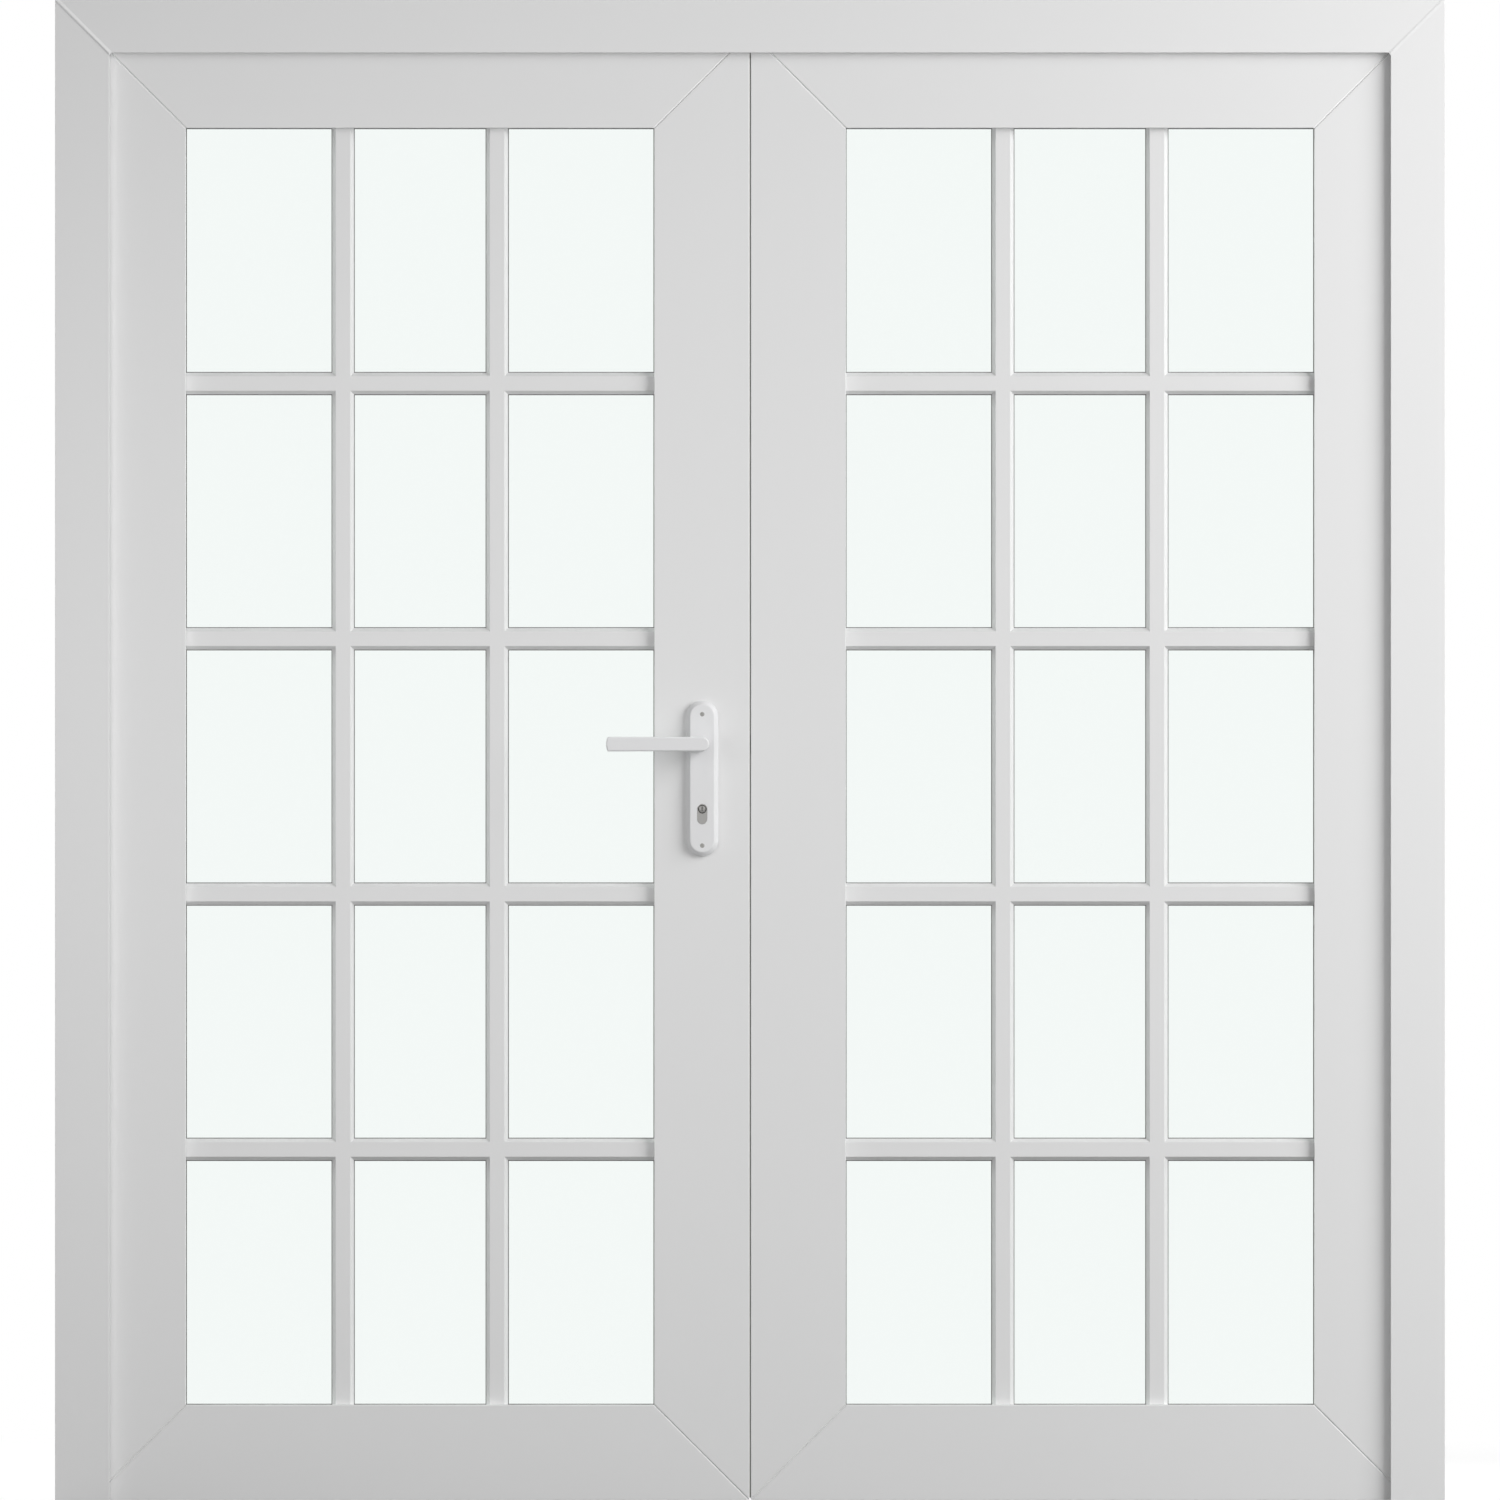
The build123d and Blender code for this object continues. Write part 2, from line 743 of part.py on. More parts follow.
def handle_plate(face):
    """Long plate, hollow behind, with a collar for the neck and bosses for the screws."""
    inner = face * leaf_thickness / 2
    outer = face * (leaf_thickness / 2 + plate_thickness)
    plate = obround_y(plate_height, plate_width, spindle_x, plate_z, inner, outer)
    rim = plate.faces().sort_by(Axis.Y)[-1 if face > 0 else 0].edges()
    plate = chamfer(rim, plate_bevel)
    levels = plate.edges().group_by(Axis.Y)
    bevel_edges = levels[-1] + levels[-2] if face > 0 else levels[0] + levels[1]
    plate = fillet(bevel_edges, plate_bevel_round)
    pocket_floor = outer - face * plate_wall
    pocket = obround_y(
        plate_height - 2 * plate_side_wall,
        plate_width - 2 * plate_side_wall,
        spindle_x,
        plate_z,
        inner,
        pocket_floor,
    )
    pocket -= rod_y(lever_neck_radius + plate_wall, spindle_x, spindle_height, inner, pocket_floor)
    pocket -= obround_y(
        cylinder_height + 2 * plate_wall,
        cylinder_width + 2 * plate_wall,
        spindle_x,
        cylinder_z_mid,
        inner,
        pocket_floor,
    )
    for z in plate_screw_heights:
        pocket -= rod_y(plate_boss_radius, spindle_x, z, inner, pocket_floor)
    plate -= pocket
    plate -= rod_y(lever_neck_radius + running_clearance, spindle_x, spindle_height, 0, 2 * outer)
    return plate - cylinder_opening


def plate_screw(z):
    """Screw through the casing-side plate and the leaf into the other plate's boss."""
    head_height = plate_screw_head_radius - plate_screw_radius
    length = leaf_thickness + plate_thickness + plate_thread_depth
    profile = Polyline(
        (0, 0),
        (plate_screw_head_radius, 0),
        (plate_screw_radius, head_height),
        (plate_screw_radius, length),
        (0, length),
        close=True,
    )
    turned = revolve(Plane.XZ * make_face(profile), Axis.Z)
    return Plane(origin=(spindle_x, plate_front, z), z_dir=(0, 1, 0)) * turned


plate_screws = [plate_screw(z) for z in plate_screw_heights]
front_plate = handle_plate(-1)
back_plate = handle_plate(1)
for screw in plate_screws:
    front_plate -= screw
    back_plate -= screw
save("front_handle_plate", front_plate)
save("back_handle_plate", back_plate)
save("handle_plate_screws", *plate_screws)
save("front_lever", lever(-1))
save("back_lever", lever(1))

# Left meeting stile: lock mortise, faceplate seat, and holes for what passes through
stile = members["left"]["meeting_stile"] - lock_mortise - faceplate_seat
stile -= follower_bore
stile -= cylinder_opening
for z in plate_screw_heights:
    stile -= rod_y(plate_screw_radius + running_clearance, spindle_x, z, leaf_front, leaf_back)
for screw in faceplate_screws:
    stile -= screw
members["left"]["meeting_stile"] = stile

# Strike plate in the right leaf's meeting stile, with a pocket for each bolt
strike_z = spindle_height - strike_centre_drop
strike = edge_plate(strike_height, edge_plate_width, strike_thickness, meeting_x, 1, strike_z)
strike_seat = edge_plate(
    strike_height + 2 * seat_clearance,
    edge_plate_width + 2 * seat_clearance,
    strike_thickness,
    meeting_x,
    1,
    strike_z,
)
pockets = [
    block(
        (meeting_x - cut_over, meeting_x + pocket_depth),
        (-thickness / 2 - strike_clearance, thickness / 2 + strike_clearance),
        (z - height / 2 - strike_clearance, z + height / 2 + strike_clearance),
    )
    for thickness, height, z in (
        (latch_thickness, latch_height, spindle_height),
        (deadbolt_thickness, deadbolt_height, deadbolt_z),
    )
]
strike_screw_offset = strike_height / 2 - edge_plate_width / 2
strike_screws = [
    wood_screw((meeting_x, 0, strike_z + sign * strike_screw_offset), (1, 0, 0)) for sign in (1, -1)
]
stile = members["right"]["meeting_stile"] - strike_seat
for pocket in pockets:
    strike -= pocket
    stile -= pocket
for screw in strike_screws:
    strike -= screw
    stile -= screw
save("strike_plate", strike)
screws["right_leaf"] += strike_screws

# Flush bolts: a rod up to the head and one down to the floor, each worked by a thumb slide
flush_ends = {"top": (1, leaf_top, "top_rail"), "bottom": (-1, leaf_bottom, "bottom_rail")}
for place, (outward, leaf_end, rail_name) in flush_ends.items():
    plate_centre = leaf_end - outward * (flush_plate_inset + flush_plate_height / 2)
    rod_inner = plate_centre - outward * thumb_height / 2
    rod_outer = leaf_end - outward * flush_rod_rest
    thumb_low = plate_centre - outward * thumb_height / 2
    thumb_high = plate_centre + outward * thumb_height / 2
    flush_rod = rod_z(flush_rod_radius, flush_x, 0, rod_inner, rod_outer)
    rod_end = flush_rod.faces().sort_by(Axis.Z)[-1 if outward > 0 else 0].edges()
    flush_rod = chamfer(rod_end, arris)
    flush_rod += block(
        (flush_x, meeting_x + thumb_recess),
        (-thumb_width / 2, thumb_width / 2),
        (thumb_low, thumb_high),
    )
    save(f"{place}_flush_bolt", flush_rod)
    slot = block(
        (meeting_x - cut_over, flush_x),
        (-thumb_width / 2 - running_clearance, thumb_width / 2 + running_clearance),
        (thumb_low - outward * running_clearance, thumb_high + outward * (flush_throw + running_clearance)),
    )
    rod_way = rod_z(
        flush_rod_radius + running_clearance,
        flush_x,
        0,
        rod_inner - outward * running_clearance,
        leaf_end + outward,
    )
    plate = edge_plate(
        flush_plate_height,
        edge_plate_width,
        flush_plate_thickness,
        meeting_x,
        1,
        plate_centre,
    )
    seat = edge_plate(
        flush_plate_height + 2 * seat_clearance,
        edge_plate_width + 2 * seat_clearance,
        flush_plate_thickness,
        meeting_x,
        1,
        plate_centre,
    )
    plate -= slot
    stile = stile - seat - slot - rod_way
    members["right"][rail_name] -= rod_way
    offset = flush_plate_height / 2 - edge_plate_width / 2
    for sign in (1, -1):
        screw = wood_screw((meeting_x, 0, plate_centre + sign * offset), (1, 0, 0), short_screw_length)
        plate -= screw
        stile -= screw
        screws["right_leaf"].append(screw)
    save(f"{place}_flush_bolt_plate", plate)
members["right"]["meeting_stile"] = stile

for name in sides:
    for part_name, solid in members[name].items():
        save(f"{name}_{part_name}", solid)
    save(f"{name}_leaf_screws", *screws[f"{name}_leaf"])
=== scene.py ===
import math

import bmesh
import bpy
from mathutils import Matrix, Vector


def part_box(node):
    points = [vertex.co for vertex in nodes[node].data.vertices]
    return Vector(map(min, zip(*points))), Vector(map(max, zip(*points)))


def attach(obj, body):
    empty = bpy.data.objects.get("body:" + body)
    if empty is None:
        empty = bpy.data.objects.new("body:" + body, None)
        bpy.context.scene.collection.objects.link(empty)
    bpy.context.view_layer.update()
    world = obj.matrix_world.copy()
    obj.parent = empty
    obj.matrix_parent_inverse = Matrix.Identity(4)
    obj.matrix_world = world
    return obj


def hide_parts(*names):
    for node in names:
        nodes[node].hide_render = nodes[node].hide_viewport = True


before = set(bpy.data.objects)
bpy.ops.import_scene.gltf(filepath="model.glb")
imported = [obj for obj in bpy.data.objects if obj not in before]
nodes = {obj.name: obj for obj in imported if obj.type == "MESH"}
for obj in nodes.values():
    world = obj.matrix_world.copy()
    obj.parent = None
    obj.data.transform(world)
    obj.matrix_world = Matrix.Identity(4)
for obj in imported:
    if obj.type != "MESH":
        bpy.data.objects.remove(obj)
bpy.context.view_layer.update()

# A pair of white glazed doors in their frame: lacquer, glass, powder coat and plated fittings
scene = bpy.context.scene
scene.view_settings.view_transform = "Standard"
mm = 0.001
levelTolerance = 0.05  # mm, a point this near to a level lies on it


# Small helpers
def linear(hexColour):
    # sRGB hex to the linear colour that the shaders take
    channels = [int(hexColour[start:start + 2], 16) / 255 for start in (1, 3, 5)]
    curve = [c / 12.92 if c <= 0.04045 else ((c + 0.055) / 1.055) ** 2.4 for c in channels]
    return (*curve, 1.0)


def addNode(tree, kind, settings=None, inputs=None):
    # settings are the node's own options; an input is a value, a socket to link from, or a node
    # whose first output is linked
    node = tree.nodes.new(kind)
    for option, value in (settings or {}).items():
        setattr(node, option, value)
    for socket, value in (inputs or {}).items():
        if isinstance(value, bpy.types.Node):
            value = value.outputs[0]
        if isinstance(value, bpy.types.NodeSocket):
            tree.links.new(value, node.inputs[socket])
        else:
            node.inputs[socket].default_value = value
    return node


def newTree(name):
    material = bpy.data.materials.new(name)
    material.use_nodes = True
    material.node_tree.nodes.clear()
    return material, material.node_tree


def finishTree(tree, shader):
    addNode(tree, "ShaderNodeOutputMaterial", inputs={"Surface": shader})


def middle(name):
    low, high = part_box(name)
    return (low + high) / 2


# Camera: the photograph's own view, square on and from far away
cameraView = {
    "photoSide": 1500,  # pixels
    "mmPerPixel": 1.3852,
    "distance": 30.0,  # metres to the leaves' front
    "height": 1.0428,  # metres, level with the middle of the picture
    "sensor": 36.0,  # mm
    "clipEnd": 100.0,  # metres
}
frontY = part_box("left_top_rail")[0].y
photoWidth = cameraView["photoSide"] * cameraView["mmPerPixel"] * mm
cameraData = bpy.data.cameras.new("camera")
cameraData.sensor_width = cameraView["sensor"]
cameraData.lens = cameraView["sensor"] * cameraView["distance"] / photoWidth
cameraData.clip_end = cameraView["clipEnd"]
camera = bpy.data.objects.new("camera", cameraData)
camera.location = (0, frontY - cameraView["distance"], cameraView["height"])
camera.rotation_euler = (math.pi / 2, 0, 0)
scene.collection.objects.link(camera)
scene.camera = camera
print("camera placed, lens", round(cameraData.lens, 1), "mm")

# World: white where the eye, a reflection or the glass sees it, and a plain soft fill elsewhere
studio = {"background": 1.0, "fill": 0.3}


def seenRay(tree):
    # 1 for rays that show the background: straight to the eye, mirrored or through the glass,
    # but not after a matt surface, whose light must stay plain
    path = addNode(tree, "ShaderNodeLightPath").outputs
    mirrored = addNode(
        tree,
        "ShaderNodeMath",
        {"operation": "MAXIMUM"},
        {0: path["Is Camera Ray"], 1: path["Is Glossy Ray"]},
    )
    seen = addNode(
        tree,
        "ShaderNodeMath",
        {"operation": "MAXIMUM"},
        {0: mirrored, 1: path["Is Transmission Ray"]},
    )
    beforeMatt = addNode(
        tree, "ShaderNodeMath", {"operation": "LESS_THAN"}, {0: path["Diffuse Depth"], 1: 0.5}
    )
    return addNode(tree, "ShaderNodeMath", {"operation": "MULTIPLY"}, {0: seen, 1: beforeMatt})


world = bpy.data.worlds.new("studio")
world.use_nodes = True
scene.world = world
sky = world.node_tree
sky.nodes.clear()
fill, white = [
    addNode(
        sky,
        "ShaderNodeBackground",
        inputs={"Color": linear("#FFFFFF"), "Strength": studio[part]},
    )
    for part in ("fill", "background")
]
skyMix = addNode(sky, "ShaderNodeMixShader", inputs={0: seenRay(sky), 1: fill, 2: white})
addNode(sky, "ShaderNodeOutputWorld", inputs={"Surface": skyMix})

# Lamps: one large soft window light from the right, a little fill, and the same from behind.
# The fills would show as squares in the panes, so they are not mirrored.
lamps = {
    "windowLight": {
        "place": (3.74, -2.43, 2.55),
        "size": (3.07, 3.26),
        "power": 197.0,
        "mirrored": True,
    },
    "frontFill": {
        "place": (-1.04, -1.64, 1.18),
        "size": (1.2, 1.2),
        "power": 8.7,
        "mirrored": False,
    },
    "backLight": {
        "place": (-3.74, 2.55, 2.55),
        "size": (3.0, 3.2),
        "power": 197.0,
        "mirrored": True,
    },
    "backFill": {
        "place": (1.04, 1.76, 1.2),
        "size": (1.2, 1.2),
        "power": 8.7,
        "mirrored": False,
    },
}
lampTarget = Vector((0, 0, 1.05))  # the middle of the doors
for lampName, lamp in lamps.items():
    lampData = bpy.data.lights.new(lampName, "AREA")
    lampData.shape = "RECTANGLE"
    lampData.size, lampData.size_y = lamp["size"]
    lampData.energy = lamp["power"]
    lampObject = bpy.data.objects.new(lampName, lampData)
    lampObject.location = lamp["place"]
    aim = lampTarget - lampObject.location
    lampObject.rotation_euler = aim.to_track_quat("-Z", "Y").to_euler()
    lampObject.visible_camera = False
    lampObject.visible_transmission = False
    lampObject.visible_glossy = lamp["mirrored"]
    scene.collection.objects.link(lampObject)
print("lamps placed")

# Floor: pale, it keeps the shadow and fades to the white of the background away from the doors
floorLook = {
    "side": 120.0,  # metres
    "colour": "#8A8A8A",
    "lift": 0.75,  # how much light the seen floor gets on top of its own
    "fadeStart": 1.2,  # metres from the middle
    "fadeEnd": 3.0,
}
floorMesh = bpy.data.meshes.new("floor")
half = floorLook["side"] / 2
floorMesh.from_pydata(
    [(-half, -half, 0), (half, -half, 0), (half, half, 0), (-half, half, 0)], [], [(0, 1, 2, 3)]
)
floorObject = bpy.data.objects.new("floor", floorMesh)
scene.collection.objects.link(floorObject)
floorMaterial, tree = newTree("paleFloor")
floorPlace = addNode(tree, "ShaderNodeTexCoord").outputs["Object"]
floorReach = addNode(tree, "ShaderNodeVectorMath", {"operation": "LENGTH"}, {0: floorPlace})
floorFade = addNode(
    tree,
    "ShaderNodeMapRange",
    {"interpolation_type": "SMOOTHSTEP"},
    {
        "Value": floorReach.outputs["Value"],
        "From Min": floorLook["fadeStart"],
        "From Max": floorLook["fadeEnd"],
        "To Min": 0.0,
        "To Max": 1.0,
    },
)
floorOwn = addNode(tree, "ShaderNodeBsdfDiffuse", inputs={"Color": linear(floorLook["colour"])})
floorLift, floorFar = [
    addNode(
        tree,
        "ShaderNodeEmission",
        inputs={"Color": linear("#FFFFFF"), "Strength": strength},
    )
    for strength in (floorLook["lift"], studio["background"])
]
floorNear = addNode(tree, "ShaderNodeAddShader", inputs={0: floorOwn, 1: floorLift})
floorSeen = addNode(
    tree, "ShaderNodeMixShader", inputs={0: floorFade, 1: floorNear, 2: floorFar}
)
floorMix = addNode(
    tree, "ShaderNodeMixShader", inputs={0: seenRay(tree), 1: floorOwn, 2: floorSeen}
)
finishTree(tree, floorMix)
floorMesh.materials.append(floorMaterial)
print("floor laid")


# Materials
def grainHeight(tree, size, stretch=(1, 1, 1), detail=2.0):
    # noise in the piece's own metres, one lump about size mm across, longer where stretched
    place = addNode(tree, "ShaderNodeTexCoord").outputs["Object"]
    scaled = addNode(
        tree,
        "ShaderNodeMapping",
        inputs={"Vector": place, "Scale": [1 / (size * mm * s) for s in stretch]},
    )
    noise = addNode(
        tree,
        "ShaderNodeTexNoise",
        inputs={"Vector": scaled, "Scale": 1.0, "Detail": detail},
    )
    return noise.outputs["Fac"]


def coating(name, look, height, marked=None):
    # one coated or bare surface: colour, typical optics, uneven gloss and a fine relief;
    # where marked is 1, the look's markedColour shows in place of its colour; every marked colour
    # here is painted light: shade on the slopes and in the keyway, a highlight in the countersink
    material, tree = newTree(name)
    glossLow, glossHigh = look["roughness"]
    gloss = addNode(
        tree,
        "ShaderNodeMapRange",
        inputs={
            "Value": grainHeight(tree, look["glossPatch"]),
            "To Min": glossLow,
            "To Max": glossHigh,
        },
    )
    relief = addNode(
        tree,
        "ShaderNodeBump",
        inputs={"Height": height(tree), "Distance": look["relief"] * mm, "Strength": 1.0},
    )
    colour = linear(look["colour"])
    if marked:
        mixed = addNode(
            tree,
            "ShaderNodeMix",
            {"data_type": "RGBA"},
            {0: marked(tree), 6: colour, 7: linear(look["markedColour"])},
        )
        colour = mixed.outputs[2]
    surface = addNode(
        tree,
        "ShaderNodeBsdfPrincipled",
        inputs={
            "Base Color": colour,
            "Metallic": look.get("metallic", 0.0),
            "IOR": look.get("ior", 1.5),
            "Roughness": gloss,
            "Normal": relief,
        },
    )
    finishTree(tree, surface)
    return material


# Sprayed matt lacquer on MDF: an even soft white, with an orange peel that only a close look finds
lacquerLook = {
    "colour": "#E7E7E7",
    "ior": 1.5,
    "roughness": (0.62, 0.7),
    "glossPatch": 90.0,  # mm, where the spray overlapped
    "peel": 1.6,  # mm
    "relief": 0.004,  # mm
}

# The bars' bevels and sides carry painted shade: a touch greyer than the faces, dimming the light
# they catch
barLook = {**lacquerLook, "markedColour": "#DCDCDC"}

# White powder coat, baked on the zinc handles: denser than the lacquer and finely gritty. Its
# marked colour is painted shade, a touch greyer on the plates' rims, dimming the light they catch
powderLook = {
    "colour": "#E5E5E6",
    "markedColour": "#DEDEDF",
    "ior": 1.5,
    "roughness": (0.6, 0.68),
    "glossPatch": 25.0,
    "grit": 0.6,  # mm
    "relief": 0.003,
}

# Clear float glass: nearly colourless, the green shows only in its thickness
glassLook = {"colour": "#F3F8F6", "ior": 1.52, "roughness": 0.0}

# Satin nickel on the turned brass key cylinder and plug: soft grey with fine rings, with a painted
# highlight, brighter, in the countersink round the plug, and painted shade, darker, in the slot
# and round the plug's edge
nickelLook = {
    "colour": "#A09F9D",
    # painted light: the countersink's painted highlight and the keyway's painted shade
    "mouthColour": "#B6B5B3",
    "keywayColour": "#858482",
    "boreMouth": 6.25,  # mm, radius of the countersink round the plug
    "plugEdge": 4.7,  # mm, radius where the plug's own edge starts
    "keyway": (0.96, 2.86),  # mm, half its width and height
    "metallic": 1.0,
    "roughness": (0.28, 0.36),
    "glossPatch": 6.0,
    "turning": 0.25,  # mm from ring to ring
    "relief": 0.002,
}

# Satin nickel plate on the pressed steel hinges, polished along their length
hingeLook = {
    "colour": "#B6B4AF",
    "metallic": 1.0,
    "roughness": (0.26, 0.36),
    "glossPatch": 14.0,
    "line": 0.35,  # mm from polishing line to line
    "lineLength": 60,  # times its width
    "relief": 0.002,
}

# Brushed stainless steel for the plates let into the edges: greyer, with longer lines
steelLook = {
    "colour": "#ACACAA",
    "metallic": 1.0,
    "roughness": (0.3, 0.42),
    "glossPatch": 20.0,
    "line": 0.3,
    "lineLength": 90,
    "relief": 0.003,
}

# Bright nickel over cast bolts: smoother than the plates, a touch warmer
boltLook = {
    "colour": "#B9B6AF",
    "metallic": 1.0,
    "roughness": (0.2, 0.3),
    "glossPatch": 8.0,
    "line": 1.2,
    "lineLength": 3,
    "relief": 0.004,
}

# Zinc plated screws, tumbled, so faintly uneven
screwLook = {
    "colour": "#A5A4A1",
    "metallic": 1.0,
    "roughness": (0.26, 0.38),
    "glossPatch": 2.0,
    "line": 0.5,
    "lineLength": 1,
    "relief": 0.002,
}

# Extruded white rubber seal: matt, with drag lines along the strip
rubberLook = {
    "colour": "#D9D8D4",
    "ior": 1.52,
    "roughness": (0.6, 0.72),
    "glossPatch": 30.0,
    "line": 0.8,
    "lineLength": 40,
    "relief": 0.01,
}

# Woven pile seal: dark and quite matt, a dark strip that paints the shade of the line it fills
pileLook = {
    **rubberLook,
    "colour": "#2C2C2B",
    "roughness": (0.8, 0.9),
    "line": 0.4,
    "lineLength": 1,
}

# Soft grey glazing tape: matt rubber, with coarser drag lines; its grey also paints the shade line
# at each light's edge
tapeLook = {**rubberLook, "colour": "#6E6E6C", "line": 1.5}

# Which faces count as slopes, by how straight they look out of the doors, 1 being quite straight
slopeLook = {"straight": 0.98, "sloping": 0.8}


def slopes(tree):
    # 0 on the flat faces of the doors, 1 on what slopes or turns away from them, where painted
    # shade darkens the bars' bevels and the plates' rims
    normal = addNode(tree, "ShaderNodeTexCoord").outputs["Normal"]
    facing = addNode(tree, "ShaderNodeSeparateXYZ", inputs={0: normal}).outputs["Y"]
    straightness = addNode(tree, "ShaderNodeMath", {"operation": "ABSOLUTE"}, {0: facing})
    return addNode(
        tree,
        "ShaderNodeMapRange",
        inputs={
            "Value": straightness,
            "From Min": slopeLook["straight"],
            "From Max": slopeLook["sloping"],
            "To Min": 0.0,
            "To Max": 1.0,
        },
    )


def lacquer(name, look, marked=None):
    return coating(name, look, lambda tree: grainHeight(tree, look["peel"]), marked)


def powder(name, look, marked=None):
    return coating(name, look, lambda tree: grainHeight(tree, look["grit"]), marked)


def brushed(name, look):
    # lines along Z, the long way of every plate, hinge, bolt and seal
    stretch = (1, 1, look["lineLength"])
    return coating(name, look, lambda tree: grainHeight(tree, look["line"], stretch, detail=3.0))


def turned(name, look, centre, place):
    # rings about the plug's axis, as the lathe leaves them
    def fromAxis(tree):
        own = addNode(tree, "ShaderNodeTexCoord").outputs["Object"]
        moved = addNode(
            tree, "ShaderNodeMapping", inputs={"Vector": own, "Location": [-c for c in centre]}
        )
        return addNode(
            tree, "ShaderNodeVectorMath", {"operation": "MULTIPLY"}, {0: moved, 1: (1, 0, 1)}
        )

    def radius(tree):
        return addNode(
            tree, "ShaderNodeVectorMath", {"operation": "LENGTH"}, {0: fromAxis(tree)}
        ).outputs["Value"]

    def rings(tree):
        phase = addNode(
            tree,
            "ShaderNodeMath",
            {"operation": "MULTIPLY"},
            {0: radius(tree), 1: 2 * math.pi / (look["turning"] * mm)},
        )
        wave = addNode(tree, "ShaderNodeMath", {"operation": "SINE"}, {0: phase})
        return addNode(
            tree, "ShaderNodeMapRange", inputs={"Value": wave, "To Min": 0.5, "To Max": 1.0}
        )

    # the countersink round the plug, where the painted highlight goes
    def mouth(tree):
        return addNode(
            tree,
            "ShaderNodeMath",
            {"operation": "LESS_THAN"},
            {0: radius(tree), 1: look["boreMouth"] * mm},
        )

    # the slot and the plug's edge, where the painted shade goes
    def keyway(tree):
        across = addNode(tree, "ShaderNodeSeparateXYZ", inputs={0: fromAxis(tree)})
        inside = []
        for axis, limit in zip(("X", "Z"), look["keyway"]):
            size = addNode(
                tree, "ShaderNodeMath", {"operation": "ABSOLUTE"}, {0: across.outputs[axis]}
            )
            inside.append(
                addNode(
                    tree, "ShaderNodeMath", {"operation": "LESS_THAN"}, {0: size, 1: limit * mm}
                )
            )
        slot = addNode(
            tree, "ShaderNodeMath", {"operation": "MULTIPLY"}, {0: inside[0], 1: inside[1]}
        )
        edge = addNode(
            tree,
            "ShaderNodeMath",
            {"operation": "GREATER_THAN"},
            {0: radius(tree), 1: look["plugEdge"] * mm},
        )
        return addNode(tree, "ShaderNodeMath", {"operation": "MAXIMUM"}, {0: slot, 1: edge})

    marked = {"mouth": mouth, "keyway": keyway}[place]
    return coating(name, {**look, "markedColour": look[place + "Colour"]}, rings, marked)


def floatGlass(name, look):
    material, tree = newTree(name)
    pane = addNode(
        tree,
        "ShaderNodeBsdfPrincipled",
        inputs={
            "Base Color": linear(look["colour"]),
            "IOR": look["ior"],
            "Roughness": look["roughness"],
            "Transmission Weight": 1.0,
        },
    )
    shadowRay = addNode(tree, "ShaderNodeLightPath").outputs["Is Shadow Ray"]
    passed = addNode(
        tree, "ShaderNodeBsdfTransparent", inputs={"Color": linear(look["colour"])}
    )
    mixed = addNode(tree, "ShaderNodeMixShader", inputs={0: shadowRay, 1: pane, 2: passed})
    finishTree(tree, mixed)
    return material


plugCentre = middle("key_plug")
materials = {
    "white_lacquer": lacquer("leafLacquer", lacquerLook),
    "white_frame_lacquer": lacquer("frameLacquer", lacquerLook),
    "bar_white": lacquer("barLacquer", barLook, slopes),
    "clear_glass": floatGlass("floatGlass", glassLook),
    "handle_white": powder("powderCoat", powderLook),
    "cylinder_nickel": turned("cylinderNickel", nickelLook, plugCentre, "mouth"),
    "plug_nickel": turned("plugNickel", nickelLook, plugCentre, "keyway"),
    "hinge_steel": brushed("hingeNickel", hingeLook),
    "lock_steel": brushed("brushedSteel", steelLook),
    "bolt_steel": brushed("boltNickel", boltLook),
    "screw_steel": brushed("screwZinc", screwLook),
    "seal_rubber": brushed("sealRubber", rubberLook),
}
for node in nodes.values():
    for materialSlot in node.material_slots:
        materialSlot.material = materials[materialSlot.material.name.split(".")[0]]
# the plates' rims take the painted shade; the levers keep the plain coat
plateCoat = powder("plateCoat", powderLook, slopes)
for name in ("front_handle_plate", "back_handle_plate"):
    nodes[name].material_slots[0].material = plateCoat
print("materials on", len(nodes), "nodes")

# Pieces
smoothAngle = 32  # degrees, faces that meet at less look like one curve


def newPiece(name, bm, body, slotName, material=None):
    # a mesh object at the origin, riding on its body
    mesh = bpy.data.meshes.new(name)
    bmesh.ops.recalc_face_normals(bm, faces=bm.faces)
    bm.to_mesh(mesh)
    bm.free()
    mesh.shade_smooth()
    mesh.set_sharp_from_angle(angle=math.radians(smoothAngle))
    piece = bpy.data.objects.new(name, mesh)
    scene.collection.objects.link(piece)
    mesh.materials.append(material or materials[slotName])
    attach(piece, body)
    return piece


def bridge(bm, lower, upper):
    # a band of faces between two rings of as many points
    count = len(lower)
    for index in range(count):
        following = (index + 1) % count
        bm.faces.new((lower[index], lower[following], upper[following], upper[index]))


# Screws: a cross recess in the head and a rolled thread on the shank
screwShape = {
    # shares of the head's radius
    "wingReach": 0.56,
    "wingHalf": 0.15,  # half a wing's width
    "recessDepth": 0.5,
    "recessDraft": 0.6,  # how much smaller the recess is at its foot
    # mm
    "rim": 0.12,  # taken off the head's edge
    "plain": 3.0,  # bare shank under the head, at most a third of the length
    "pointRadius": 0.5,  # a screw that ends thinner is a wood screw
    "core": 0.12,  # the thread's foot is never thinner
    "woodThread": (1.8, 0.55),  # pitch and depth
    "metalThread": (0.9, 0.35),
    "ringPoints": 32,
    "threadStep": 8,  # rings for each turn of the thread
    "ridgeSharpness": 4,
}


